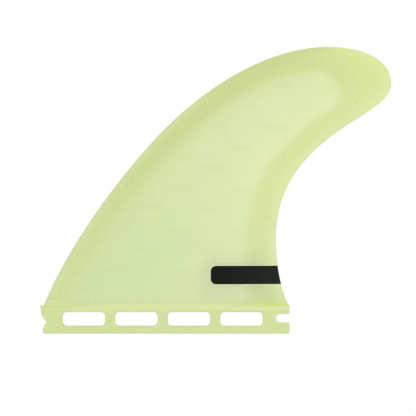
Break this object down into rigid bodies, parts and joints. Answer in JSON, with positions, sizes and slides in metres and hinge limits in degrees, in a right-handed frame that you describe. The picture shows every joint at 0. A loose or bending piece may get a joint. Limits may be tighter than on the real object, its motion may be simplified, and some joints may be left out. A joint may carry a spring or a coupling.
{
  "type": "surfboard fin",
  "caption": "Pale green translucent side fin for a surfboard: raked foiled blade with a hexagonal-cell core, on a single slotted base tab.",
  "frame": {"origin": "middle of the base tab's length and thickness, in the plane of the board's bottom where the blade meets the tab", "axes": "+X back towards the trailing edge and the raked tip, +Y out of the flat inside face, +Z away from the board along the blade"},
  "size_m": [0.1614, 0.007, 0.1318],
  "materials": {
    "laminate": "translucent pale yellow-green glass-fibre laminate, satin, moulded",
    "core": "pale resin-soaked core sheet with hexagonal cells",
    "label": "black printed film under clear resin"
  },
  "bodies": {
    "root": {"fin_laminate": "laminate", "core_panel": "core", "label_film": "label"}
  },
  "joints": []
}
